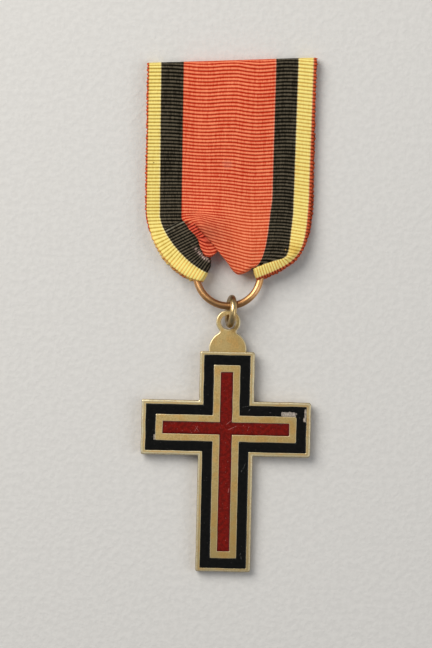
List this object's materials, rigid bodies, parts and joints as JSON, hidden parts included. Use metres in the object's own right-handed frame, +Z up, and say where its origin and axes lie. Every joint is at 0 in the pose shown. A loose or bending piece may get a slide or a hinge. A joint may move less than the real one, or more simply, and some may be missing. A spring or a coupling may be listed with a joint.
{
  "type": "cross medal",
  "caption": "Long brass cross with black and red enamel, hung by a jump ring and a larger ring from a corded striped ribbon that is folded over and gathered in the ring.",
  "frame": {"origin": "middle of the whole part's box at the height of the surface it lies on", "axes": "+Z up from the surface to the viewer, +Y from the foot of the cross towards the ribbon's top fold, +X to the viewer's right"},
  "size_m": [0.0386, 0.113, 0.0072],
  "materials": {
    "ribbon": "corded silk, red with a black and a yellow stripe along each side",
    "suspension_ring": "coppery bronze, worn satin",
    "jump_ring": "brass, dull and slightly tarnished",
    "cross_body": "pale brass, worn satin with bright edges",
    "black_enamel": "black enamel, glossy, chipped in a few places",
    "red_enamel": "dark red translucent enamel, glossy, lightly scratched"
  },
  "bodies": {
    "root": {"ribbon": "ribbon", "suspension_ring": "suspension_ring", "jump_ring": "jump_ring", "cross_body": "cross_body", "black_enamel": "black_enamel", "red_enamel": "red_enamel"}
  },
  "joints": []
}
